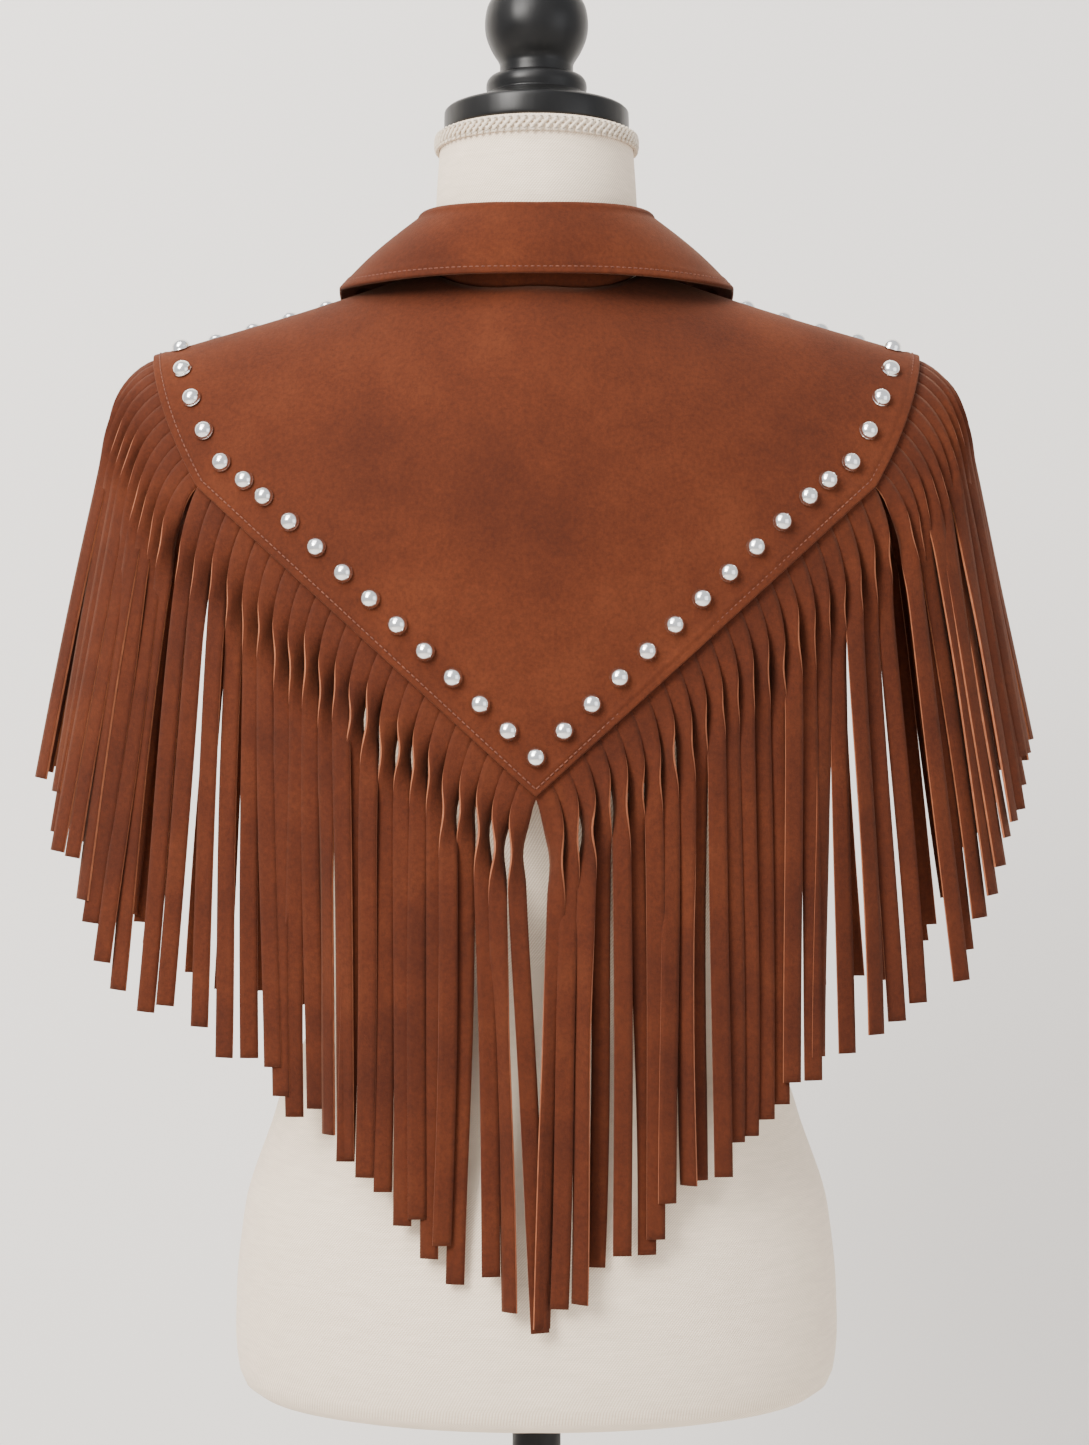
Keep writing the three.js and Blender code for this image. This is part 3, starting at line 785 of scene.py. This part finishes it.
def stud_spots():
    """Face, side distance and arc of every stud on the left half and on the middle."""
    spots = []
    rise = (HEM_CORNER["front"] - HEM_MIDDLE["front"]) / (CORNER_X - FRONT_EDGE)
    for k in range(0, 11):
        x = STUD["spacing"] * k
        spots.append(("back", x, float(arc_to_height("back", np.array(x), STUD["first"] + STUD["rise"] * k))))
        if k:
            height = HEM_MIDDLE["front"] + 17 + rise * x
            spots.append(("front", x - 3, float(arc_to_height("front", np.array(x - 3.0), height))))
    for face in FACES:
        for x, height in SIDE_STUDS:
            spots.append((face, x, float(arc_to_height(face, np.array(x), height))))
    spots.append(("back", *RIDGE_STUD))
    for k in range(SHOULDER_ROW["count"] + 1):
        spots.append(("front", SHOULDER_ROW["first"] + SHOULDER_ROW["spacing"] * k, SHOULDER_ROW["s"]))
    return spots


def build_studs():
    radius, height = STUD["radius"], STUD["height"] + 0.4
    bend = np.linspace(0, math.pi / 2, 9)
    dome = [(0.01, -0.9), (radius - 0.9, -0.9), (radius, -0.2), (radius, 0.15)]
    dome += [(max(0.02, radius * 0.97 * math.cos(b)), 0.3 + height * math.sin(b)) for b in bend]
    vertices, faces = [], []
    for face, x, s in stud_spots():
        for mirror in ((1, -1) if x else (1,)):
            centre = (drape(face, x, s) + drape_normal(face, x, s) * 0.7).reshape(3) * [mirror, 1, 1]
            axis = drape_normal(face, x, s).reshape(3) * [mirror, 1, 1]
            points, extra = lathe(dome, 24, centre, axis)
            faces += [[v + len(vertices) for v in f] for f in extra]
            vertices += points.tolist()
    piece = add_piece("studs", np.array(vertices), faces, NICKEL, "stud_metal")
    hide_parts(*[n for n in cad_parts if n.startswith("stud_")])
    return piece


studs = build_studs()

# ---------- dress form ----------
# Height, half width, depth behind and in front of the middle, and squareness.
TORSO = [
    (785, 150, 92, 90, 2.1), (788, 161, 101, 97, 2.1), (793, 168, 106.5, 101.5, 2.1),
    (805, 172, 110, 104, 2.1),
    (845, 173, 112, 106, 2.1), (892, 168.3, 109, 103, 2.1), (952, 149.6, 97, 95, 2.1),
    (1000, 130, 87, 90, 2.1), (1040, 121, 82, 88, 2.1), (1090, 124, 84, 93, 2.1), (1150, 136, 91, 106, 2.05),
    (1215, 147, 97, 120, 2), (1270, 152, 98, 113, 1.9), (1320, 158, 93, 94, 1.8), (1350, 168, 83, 75, 1.7),
    (1372, 184, 71, 60, 1.6), (1384, 186, 64, 56, 1.6), (1395, 155, 57, 49, 1.55), (1405, 110, 54, 47, 1.5),
    (1415, 76, 54.5, 50, 1.6), (1427, 58.8, 56, 55, 1.9), (1465, 58.3, 57, 57, 2),
    (1511, 55.6, 55.6, 55.6, 2),
]
NECK_TOP = TORSO[-1][0]
NECK_RADIUS = TORSO[-1][1]
UNDER_CLOTH = CLOTH + 2.2


def keep_under_cloth(points):
    """Sinks the points of the form that would touch the cloth."""
    s = np.arange(0, 330, 3.0)
    for index, point in enumerate(points):
        if not (1131 < point[2] < 1426) or math.hypot(point[0], point[1]) < NECK_HALF_WIDTH:
            continue
        face = "back" if point[1] >= 0 else "front"
        surface = drape(face, point[0], s)
        best = s[np.argmin(np.linalg.norm(surface - point, axis=1))]
        normal = drape_normal(face, point[0], best)
        height = float(np.dot(point - drape(face, point[0], best), normal))
        points[index] = point - normal * max(0.0, height + UNDER_CLOTH)
    return points


def torso_sections():
    heights = np.array([row[0] for row in TORSO], float)
    dense = []
    for low, high in zip(heights[:-1], heights[1:]):
        dense += list(np.arange(low, high, 7.0))
    dense.append(heights[-1])
    table = np.array(TORSO, float)
    slopes = np.gradient(table[:, 1:], heights, axis=0)
    sections = []
    for z in dense:
        k = min(int(np.searchsorted(heights, z, side="right")) - 1, len(TORSO) - 2)
        gap = heights[k + 1] - heights[k]
        u = (z - heights[k]) / gap
        h00, h10 = 2 * u**3 - 3 * u**2 + 1, u**3 - 2 * u**2 + u
        h01, h11 = -2 * u**3 + 3 * u**2, u**3 - u**2
        values = (h00 * table[k, 1:] + h10 * gap * slopes[k] * 0.7
                  + h01 * table[k + 1, 1:] + h11 * gap * slopes[k + 1] * 0.7)
        sections.append((z, *values))
    return sections


def build_torso():
    segments = 96
    angle = np.linspace(0, 2 * math.pi, segments + 1)[:-1]
    rows, uvs = [], []
    for z, half, behind, ahead, square in torso_sections():
        bend = lambda v: np.sign(v) * np.abs(v) ** (2 / square)
        depth = np.where(np.sin(angle) > 0, behind, ahead)
        ring = np.stack([half * bend(np.cos(angle)), depth * bend(np.sin(angle)), np.full_like(angle, z)], -1)
        seam = 0.5 * np.exp(-((ring[:, 0]) / 1.2) ** 2)
        ring[:, 1] -= np.sign(ring[:, 1]) * seam
        rows.append(ring)
    count = len(rows)
    points = keep_under_cloth(np.array(rows).reshape(-1, 3))
    grid = points.reshape(count, segments, 3)
    girth = np.linalg.norm(np.roll(grid, -1, axis=1) - grid, axis=-1)
    around = np.concatenate([np.zeros((count, 1)), np.cumsum(girth, axis=1)[:, :-1]], axis=1)
    uv = np.stack([around * MM, grid[..., 2] * MM], -1).reshape(-1, 2)
    faces = grid_faces(count, segments, wrap=True)
    faces += [list(range(segments - 1, -1, -1)), [(count - 1) * segments + j for j in range(segments)]]
    piece = add_piece("form_torso", points, outward(points, faces), LINEN, "linen", uv=uv)
    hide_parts("torso")
    return piece


torso = build_torso()


def tube(path, radius, sides=6):
    forward = unit(np.gradient(path, axis=0))
    side = unit(np.cross(forward, [0, 0, 1.0]))
    up = np.cross(side, forward)
    turn = np.linspace(0, 2 * math.pi, sides, endpoint=False)
    around = side[:, None] * np.cos(turn)[:, None] + up[:, None] * np.sin(turn)[:, None]
    return path[:, None] + radius * around


def build_braid():
    """Two cords that cross in scrolls over a woven band."""
    loops, per_loop = 42, 18
    centre_height = NECK_TOP - 5.6
    vertices, faces = [], []
    band = [(NECK_RADIUS + 0.9, centre_height - 4.2), (NECK_RADIUS + 1.7, centre_height - 4),
            (NECK_RADIUS + 1.7, centre_height + 4), (NECK_RADIUS + 0.9, centre_height + 4.2)]
    turn = np.linspace(0, 2 * math.pi, 96, endpoint=False)
    for r, h in band:
        vertices += np.stack([r * np.cos(turn), r * np.sin(turn), np.full_like(turn, h)], -1).tolist()
    faces += grid_faces(4, 96, wrap=True)
    faces += [[3 * 96 + j, 3 * 96 + (j + 1) % 96, (j + 1) % 96, j] for j in range(96)]
    t = np.linspace(0, 2 * math.pi, loops * per_loop, endpoint=False)
    for phase in (0, math.pi):
        swing = np.sin(loops * t + phase)
        angle = t + 0.028 * np.sin(2 * loops * t)
        radius = NECK_RADIUS + 2.4 + 0.5 * np.cos(loops * t + phase)
        path = np.stack([radius * np.cos(angle), radius * np.sin(angle), centre_height + 3.9 * swing], -1)
        rings = tube(np.concatenate([path, path[:1]]), 0.95)[:-1]
        start = len(vertices)
        vertices += rings.reshape(-1, 3).tolist()
        n = len(path)
        for i in range(n):
            for j in range(6):
                k, m = (j + 1) % 6, (i + 1) % n
                faces.append([start + i * 6 + j, start + i * 6 + k, start + m * 6 + k, start + m * 6 + j])
    piece = add_piece("gimp_braid", np.array(vertices), faces, BRAID, "braid")
    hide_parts("neck_braid")
    return piece


build_braid()

# Profiles as (radius, height) pairs. Each starts and ends just off the axis.
CAP = [
    (0.01, 0.3), (50, 0.3), (52.6, 1), (53.5, 3), (53.5, 11.5), (52.6, 13.6), (50, 15), (40, 18), (33.5, 21),
    (31, 22), (30, 22.4), (28.6, 23.4), (28.8, 25), (29.2, 28), (28.6, 31), (26.5, 33.4), (23, 34),
    (0.01, 34),
]
FINIAL = [
    (0.01, 0), (21.5, 0), (21.3, 4), (21.8, 8), (26, 15), (29.2, 23), (30, 31), (28.8, 39), (26.9, 43.2),
    (26.2, 44.4), (26.9, 45.6), (28.2, 49), (26.6, 54.5), (19, 61), (14.2, 67), (13.2, 71), (14.6, 77),
    (18.6, 82), (20.4, 88), (19.2, 95), (14, 101), (6, 104.6), (0.01, 105),
]
BASE = [
    (0.01, 0), (178, 0), (179.6, 0.7), (180, 2), (180, 9), (179.4, 11), (177, 12), (60, 17), (38, 21),
    (28, 27), (23.5, 36), (21.5, 50), (20.3, 72), (19.5, 74), (0.01, 74),
]
POLE = [(0.01, 74.3), (13.6, 74.3), (14, 74.8), (14, 784), (13.6, 784.7), (0.01, 784.7)]


def add_turned(name, node, profile, lift, material, slot, dense=5):
    rounded = [profile[0]] + curve_profile(profile[1:-1], dense) + [profile[-1]]
    points, faces = lathe([(r, h + lift) for r, h in rounded], 72)
    piece = add_piece(name, points, faces, material, slot)
    piece.data.polygons[-1].use_smooth = False
    piece.data.polygons[-2].use_smooth = False
    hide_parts(node)
    return piece


add_turned("turned_cap", "neck_cap", CAP, NECK_TOP, BLACK_WOOD, "black_wood")
add_turned("turned_finial", "finial", FINIAL, NECK_TOP + 34.3, BLACK_WOOD, "black_wood")
add_turned("round_base", "base", BASE, 0, BLACK_METAL, "black_metal")
add_turned("stand_pole", "pole", POLE, 0, BLACK_METAL, "black_metal", dense=1)


# ---------- stage, light and camera ----------
def stage_plane(name, corners, material):
    mesh = bpy.data.meshes.new(name)
    mesh.from_pydata(corners, [], [[0, 1, 2, 3]])
    mesh.materials.append(material)
    piece = bpy.data.objects.new(name, mesh)
    bpy.context.scene.collection.objects.link(piece)


PALE = new_material("pale_studio", (0.86, 0.825, 0.78), 0.95)[0]
stage_plane("floor", [(-6, -3, -0.001), (6, -3, -0.001), (6, 6, -0.001), (-6, 6, -0.001)], PALE)
stage_plane("backdrop", [(-6, -0.75, -0.001), (6, -0.75, -0.001), (6, -0.75, 4), (-6, -0.75, 4)], PALE)


def area_light(name, place, target, size, power, color):
    light = bpy.data.lights.new(name, "AREA")
    light.size, light.energy, light.color = size, power, color
    lamp = bpy.data.objects.new(name, light)
    bpy.context.scene.collection.objects.link(lamp)
    lamp.location = place
    aim = np.asarray(target, float) - np.asarray(place, float)
    yaw = math.atan2(-aim[0], aim[1])
    lamp.rotation_euler = (math.pi / 2 + math.atan2(aim[2], math.hypot(aim[0], aim[1])), 0, yaw)


area_light("key", (1.5, 2.1, 2.5), (0, 0, 1.2), 1.1, 120, (1.0, 0.97, 0.93))
area_light("fill", (-1.9, 1.6, 1.4), (0, 0, 1.15), 1.6, 13, (0.95, 0.97, 1.0))
area_light("wall", (0.9, 1.2, 3.2), (0.1, -0.75, 1.3), 1.5, 62, (1.0, 0.98, 0.96))

world = bpy.data.worlds.new("studio")
bpy.context.scene.world = world
world.use_nodes = True
world.node_tree.nodes["Background"].inputs["Color"].default_value = (0.93, 0.95, 1.0, 1)
world.node_tree.nodes["Background"].inputs["Strength"].default_value = 1.05

camera = bpy.data.cameras.new("camera")
camera.sensor_width = 36
camera.lens = 62.3
viewer = bpy.data.objects.new("camera", camera)
bpy.context.scene.collection.objects.link(viewer)
viewer.location = (-0.0046, 1.45, 1.171)
viewer.rotation_euler = (math.pi / 2, 0, math.pi)
bpy.context.scene.camera = viewer
